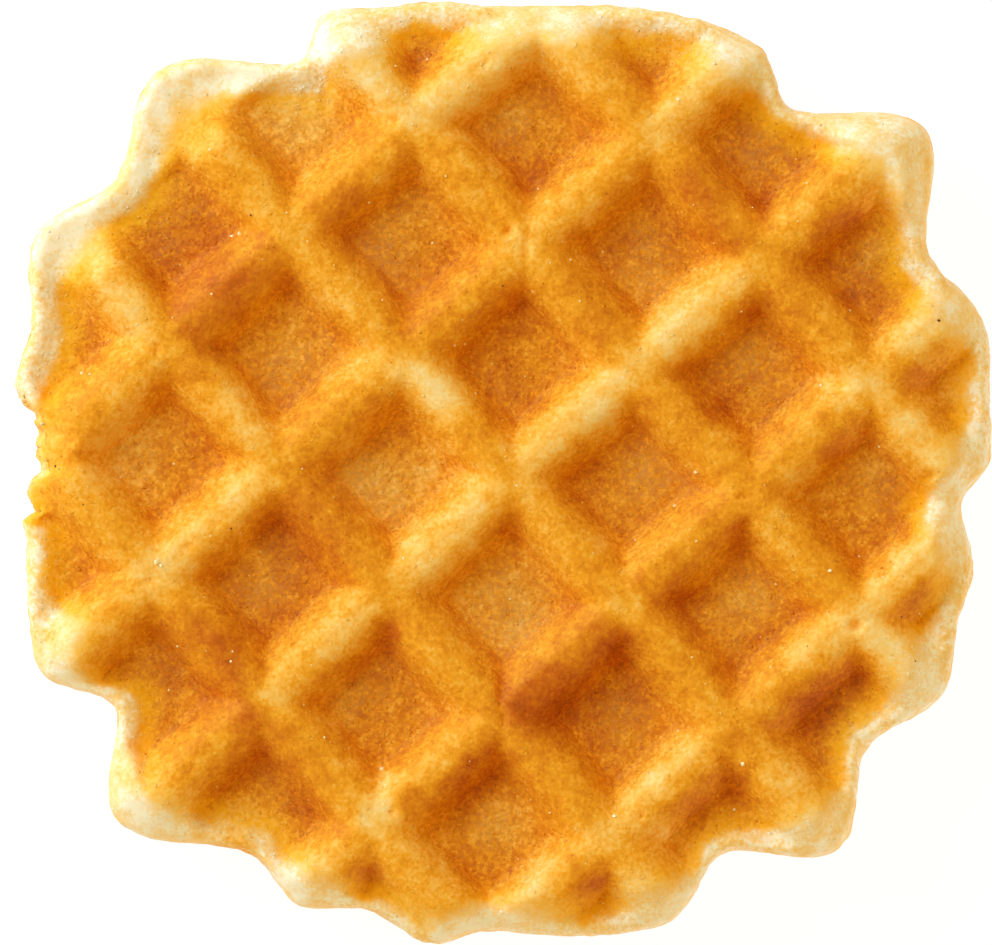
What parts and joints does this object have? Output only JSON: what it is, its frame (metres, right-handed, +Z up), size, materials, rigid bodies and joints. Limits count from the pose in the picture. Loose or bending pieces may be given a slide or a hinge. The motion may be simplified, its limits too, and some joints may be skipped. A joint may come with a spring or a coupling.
{
  "type": "pastry waffle",
  "caption": "Round, flat butter waffle with a diagonal grid of ridges round square pockets on both faces, a lobed pale rim and a torn stretch of edge.",
  "frame": {"origin": "middle of the bounding box in plan, on the plane that the lower ridges rest on", "axes": "+Z up through the waffle's thickness; X and Y lie in its plane, with the grid's ridges at about 42 degrees to them"},
  "size_m": [0.0772, 0.0744, 0.012],
  "materials": {
    "waffle_crust": "golden-brown baked crust, pale cream at the rim"
  },
  "bodies": {
    "root": {"waffle": "waffle_crust"}
  },
  "joints": []
}
